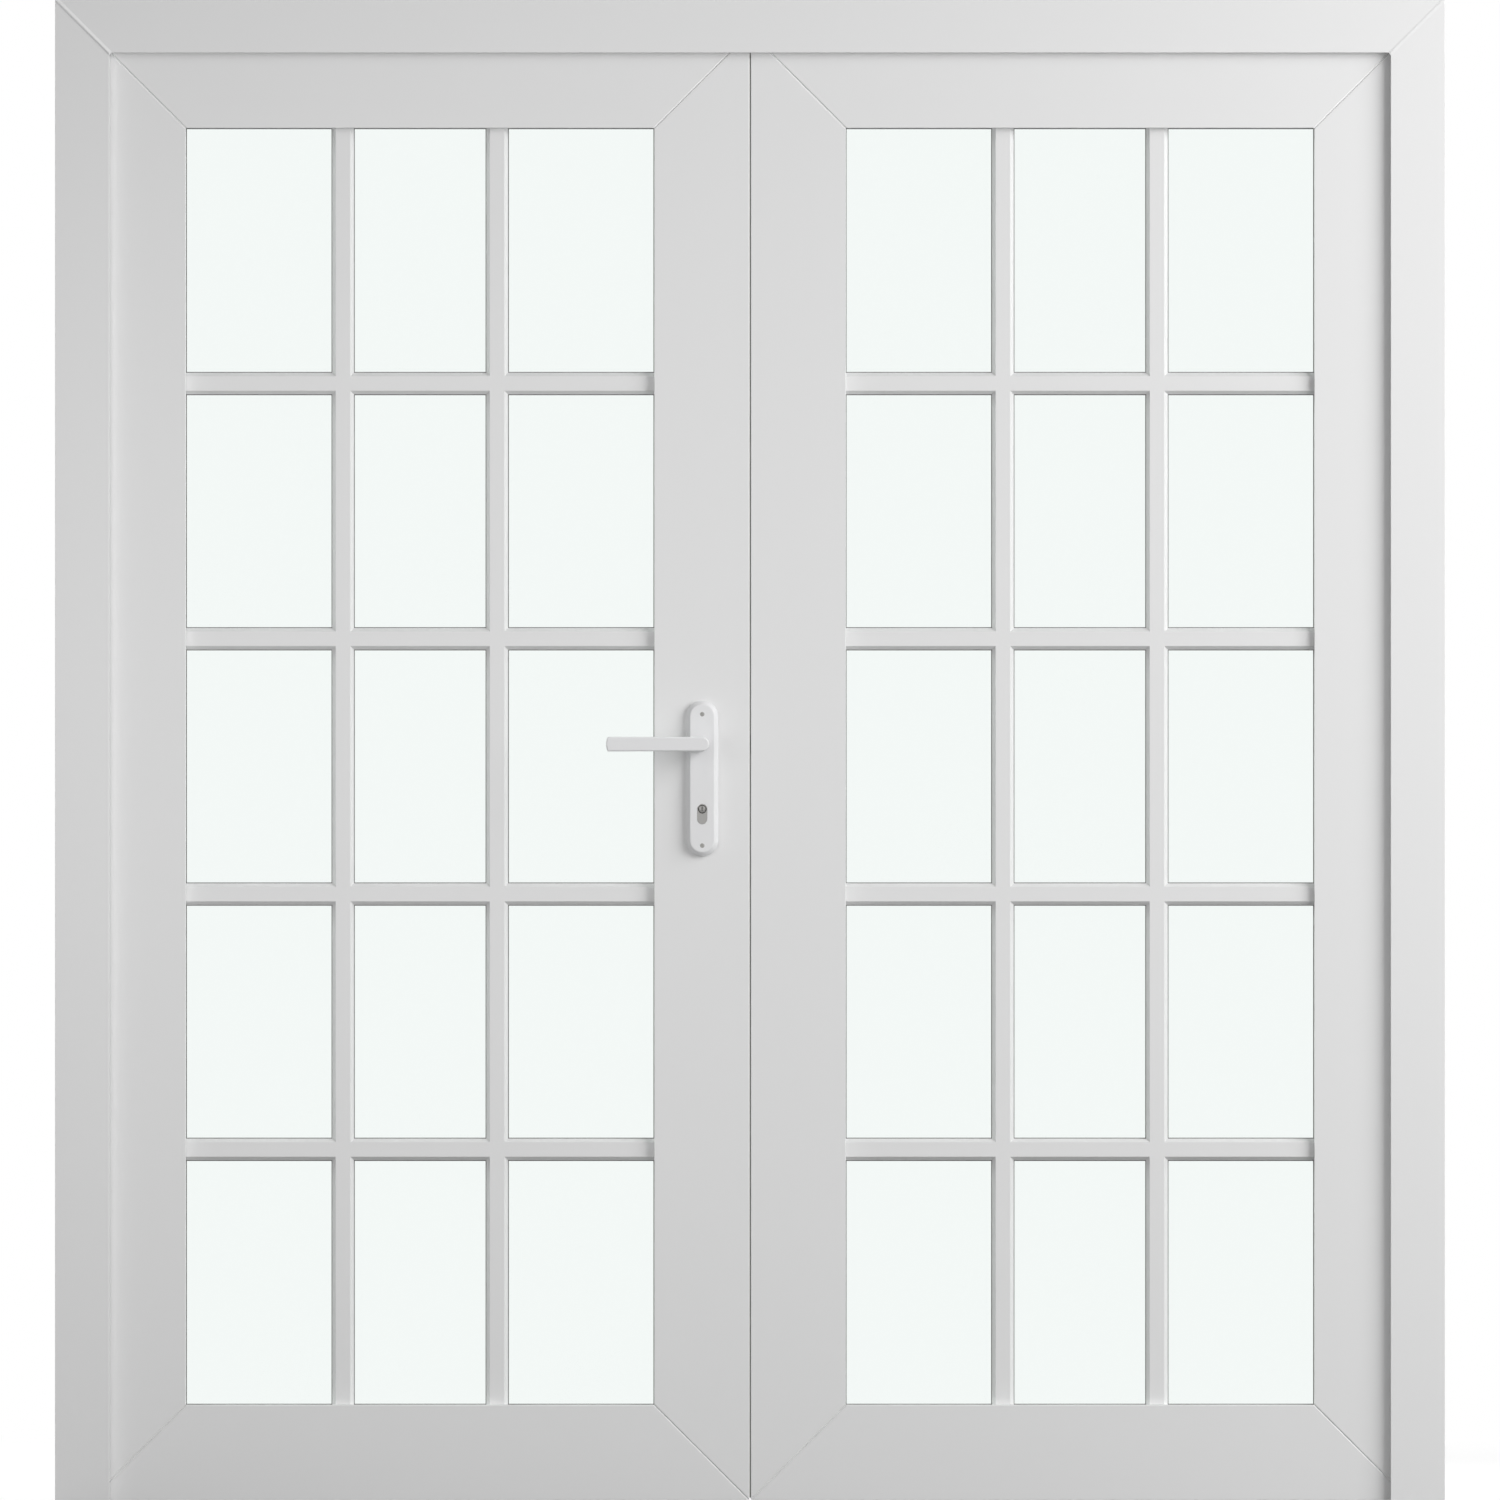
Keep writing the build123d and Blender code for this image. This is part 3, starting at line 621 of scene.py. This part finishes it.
def screwIslands(name):
    # the separate screws of a node, as lists of their points, in the order of the mesh
    weldDistance = 0.01 * mm
    bm = bmesh.new()
    bm.from_mesh(nodes[name].data)
    bmesh.ops.remove_doubles(bm, verts=bm.verts, dist=weldDistance)
    found = set()
    islands = []
    for first in bm.verts:
        if first in found:
            continue
        found.add(first)
        stack = [first]
        island = []
        while stack:
            vert = stack.pop()
            island.append(vert.co.copy())
            for edge in vert.link_edges:
                other = edge.other_vert(vert)
                if other not in found:
                    found.add(other)
                    stack.append(other)
        islands.append(island)
    bm.free()
    return islands


def screwFrame(points):
    # where the screw's head is, which way it is driven, and its radius at each depth
    low = Vector([min(p[axis] for p in points) for axis in range(3)])
    high = Vector([max(p[axis] for p in points) for axis in range(3)])
    centre = (low + high) / 2

    def reach(point, axis):
        across = point - centre
        across[axis] = 0
        return across.length

    def widest(level, axis):
        return max(reach(p, axis) for p in points if abs(p[axis] - level) < levelTolerance * mm)

    # only along the screw's own axis is one end wider than the other, however short it is
    lead = [widest(low[axis], axis) - widest(high[axis], axis) for axis in range(3)]
    own = max(range(3), key=lambda axis: abs(lead[axis]))
    head = centre.copy()
    head[own] = low[own] if lead[own] > 0 else high[own]
    direction = Vector((0, 0, 0))
    direction[own] = 1 if lead[own] > 0 else -1
    levels = {}
    for point in points:
        depth = round((point - head).dot(direction) / mm, 1)
        levels[depth] = max(levels.get(depth, 0), reach(point, own) / mm)
    return head, direction, sorted(levels.items())


def radiusAt(profile, depth):
    for (startDepth, startRadius), (endDepth, endRadius) in zip(profile, profile[1:]):
        if depth <= endDepth:
            share = (depth - startDepth) / (endDepth - startDepth)
            return startRadius + (endRadius - startRadius) * share
    return profile[-1][1]


def addScrew(bm, points):
    shape = screwShape
    head, direction, profile = screwFrame(points)
    side = direction.orthogonal().normalized()
    up = direction.cross(side)
    headRadius = profile[0][1]
    shoulder, shoulderRadius = profile[1]
    length, endRadius = profile[-1]
    wooden = endRadius < shape["pointRadius"]
    pitch, threadDepth = shape["woodThread"] if wooden else shape["metalThread"]
    count = shape["ringPoints"]

    def ring(depth, radius):
        verts = []
        for index in range(count):
            angle = 2 * math.pi * index / count
            r = radius(angle) if callable(radius) else radius
            offset = side * math.cos(angle) * r + up * math.sin(angle) * r + direction * depth
            verts.append(bm.verts.new(head + offset * mm))
        return verts

    reachOut, halfWing = shape["wingReach"] * headRadius, shape["wingHalf"] * headRadius
    recessFoot = shape["recessDepth"] * headRadius

    def cross(angle):
        # the recess's outline: four wings with square ends
        turn = (angle + math.pi / 4) % (math.pi / 2) - math.pi / 4
        along, across = math.cos(turn), abs(math.sin(turn))
        return min(reachOut / along, halfWing / max(across, 1e-6))  # across is 0 along a wing

    rings = [
        ring(recessFoot, lambda angle: cross(angle) * shape["recessDraft"]),
        ring(0, cross),
        ring(0, headRadius - shape["rim"]),
        ring(shape["rim"] / 2, headRadius),
        ring(shoulder, shoulderRadius),
    ]
    threadStart = min(shoulder + shape["plain"], length / 3)
    step = pitch / shape["threadStep"]
    for index in range(int((length - threadStart) / step)):
        depth = threadStart + index * step
        outer = radiusAt(profile, depth)

        def threaded(angle, depth=depth, outer=outer):
            phase = (depth / pitch - angle / (2 * math.pi)) % 1
            ridge = max(0, 1 - abs(phase - 0.5) * shape["ridgeSharpness"])
            return max(outer - threadDepth * (1 - ridge), shape["core"])

        rings.append(ring(depth, threaded))
    for lower, upper in zip(rings, rings[1:]):
        bridge(bm, lower, upper)
    foot = bm.verts.new(head + direction * recessFoot * mm)
    tip = bm.verts.new(head + direction * length * mm)
    for index in range(count):
        following = (index + 1) % count
        bm.faces.new((rings[0][following], rings[0][index], foot))
        bm.faces.new((rings[-1][index], rings[-1][following], tip))


screwGroups = {
    "jamb_hinge_screws": "frame",
    "left_leaf_screws": "left_leaf",
    "right_leaf_screws": "right_leaf",
    "handle_plate_screws": "left_leaf",
}
for nodeName, body in screwGroups.items():
    bm = bmesh.new()
    for points in screwIslands(nodeName):
        addScrew(bm, points)
    piece = newPiece(nodeName + "_threaded", bm, body, "screw_steel")
    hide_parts(nodeName)
    print(nodeName, len(piece.data.polygons), "faces")

# Meeting seals on the left leaf's edge: a soft white strip at the front, which leaves a thin line
# open beside the right leaf, and a dark pile seal behind it, which fills that line with painted
# shade
sealShape = {
    "points": 14,
    "endGap": 3.0,  # mm
    "squareness": 0.5,  # 1 is an ellipse, less is squarer
    # mm: from the leaf's front to the strip's middle, its width, what it stays off the other leaf
    "meeting_seal": {"depth": 2.6, "width": 3.6, "short": 1.25},
    "meeting_pile": {"depth": 6.4, "width": 3.4, "short": 0.1},
}
leftLow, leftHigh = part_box("left_meeting_stile")
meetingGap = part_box("right_meeting_stile")[0].x - leftHigh.x


def addMeetingStrip(name, material=None):
    shape = sealShape[name]
    reach = meetingGap - shape["short"] * mm
    endGap = sealShape["endGap"] * mm
    bm = bmesh.new()
    ends = []
    for z in (leftLow.z + endGap, leftHigh.z - endGap):
        outline = []
        for index in range(sealShape["points"]):
            angle = math.pi * index / (sealShape["points"] - 1)
            bulge = max(0, math.sin(angle)) ** sealShape["squareness"]
            y = leftLow.y + (shape["depth"] - shape["width"] / 2 * math.cos(angle)) * mm
            outline.append(bm.verts.new((leftHigh.x + reach * bulge, y, z)))
        ends.append(outline)
        bm.faces.new(outline)
    bridge(bm, ends[0], ends[1])
    newPiece(name, bm, "left_leaf", "seal_rubber", material)
    print(name, "added")


addMeetingStrip("meeting_seal")
addMeetingStrip("meeting_pile", brushed("pileSeal", pileLook))

# Glazing tape: a thin grey line round each of the fifteen lights, on both sides of a pane, real
# tape whose grey also paints the shade at the glass edge
tapeShape = {
    # mm
    "width": 1.1,
    "thickness": 0.9,
    "spare": 0.19,  # closes the gap beside the stiles
}
tapeMaterial = brushed("glazingTape", tapeLook)


def lightEdges(name, axis, face):
    # where the bars of a grille start and end along an axis, read on its side next to the glass
    low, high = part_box(name)
    glassSide = high.y if face < 0 else low.y
    found = set()
    for vert in nodes[name].data.vertices:
        if abs(vert.co.y - glassSide) < levelTolerance * mm:
            found.add(round(vert.co[axis] / mm, 1) * mm)
    edges = sorted(found)
    edges[0] -= tapeShape["spare"] * mm
    edges[-1] += tapeShape["spare"] * mm
    return edges


def addFrame(bm, xs, zs, ys):
    # a flat rectangular ring between two depths, its outer edge on the given limits
    rings = []
    for inset in (0, tapeShape["width"] * mm):
        for y in ys:
            corners = (
                (xs[0] + inset, zs[0] + inset),
                (xs[1] - inset, zs[0] + inset),
                (xs[1] - inset, zs[1] - inset),
                (xs[0] + inset, zs[1] - inset),
            )
            rings.append([bm.verts.new((x, y, z)) for x, z in corners])
    outerFront, outerBack, innerFront, innerBack = rings
    bridge(bm, outerFront, outerBack)
    bridge(bm, outerBack, innerBack)
    bridge(bm, innerBack, innerFront)
    bridge(bm, innerFront, outerFront)


for side in ("left", "right"):
    glassLow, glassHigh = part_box(side + "_glass")
    for place, face in (("front", -1), ("back", 1)):
        grilleName = f"{side}_{place}_grille"
        columns = lightEdges(grilleName, 0, face)
        rows = lightEdges(grilleName, 2, face)
        surface = glassLow.y if face < 0 else glassHigh.y
        depths = (surface, surface + face * tapeShape["thickness"] * mm)
        bm = bmesh.new()
        for xs in zip(columns[::2], columns[1::2]):
            for zs in zip(rows[::2], rows[1::2]):
                addFrame(bm, xs, zs, depths)
        newPiece(f"{side}_{place}_glazing_tape", bm, side + "_leaf", "seal_rubber", tapeMaterial)
        print(grilleName, len(columns) // 2, "by", len(rows) // 2, "lights taped")

# Casing mitres: filled and rubbed down by hand, which leaves a low ridge along each joint
mitreShape = {
    # mm
    "crown": 0.3,  # half the rounded top's width
    "sunk": 0.1,
    "inset": 0.6,
    # how far the ridge spreads over the leg and over the head, how high it is, and how far its
    # top lies off the joint
    "left": {"leg": 2.5, "head": 3.9, "height": 1.3, "shift": -0.7},
    "right": {"leg": 3.8, "head": 2.4, "height": 0.5, "shift": 0.2},
}
headLow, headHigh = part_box("head_casing")
mitreLength = (headHigh.z - headLow.z) * math.sqrt(2)


def ridgeSection(ridge):
    # across the joint and up from the casing, in mm, from the leg's side to the head's
    crown, sunk = mitreShape["crown"], mitreShape["sunk"]
    leg, head, height = ridge["leg"], ridge["head"], ridge["height"]
    section = (
        (-leg, -sunk),
        (-leg, 0),
        (-crown, height * (1 - crown / leg)),
        (0, height * (1 - crown / (leg + head))),
        (crown, height * (1 - crown / head)),
        (head, 0),
        (head, -sunk),
    )
    return [(offset + ridge["shift"], level) for offset, level in section]


for side, sign in (("left", -1), ("right", 1)):
    legLow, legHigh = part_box(side + "_casing")
    innerX = legHigh.x if sign < 0 else legLow.x
    along = Vector((sign, 0, 1)).normalized()
    across = Vector((-sign, 0, 1)).normalized()
    start = Vector((innerX, headLow.y, headLow.z))
    inset = mitreShape["inset"] * mm
    section = ridgeSection(mitreShape[side])
    bm = bmesh.new()
    ends = []
    for base in (inset, mitreLength - inset):
        ring = []
        for offset, level in section:
            distance = base - abs(offset) * mm
            place = start + along * distance + across * offset * mm
            ring.append(bm.verts.new(place + Vector((0, -level * mm, 0))))
        ends.append(ring)
    bridge(bm, ends[0], ends[1])
    for ring in ends:
        for index in range(1, len(ring) - 1):
            bm.faces.new((ring[0], ring[index], ring[index + 1]))
    newPiece(side + "_casing_mitre", bm, "frame", "white_frame_lacquer")
print("casing mitres filled")
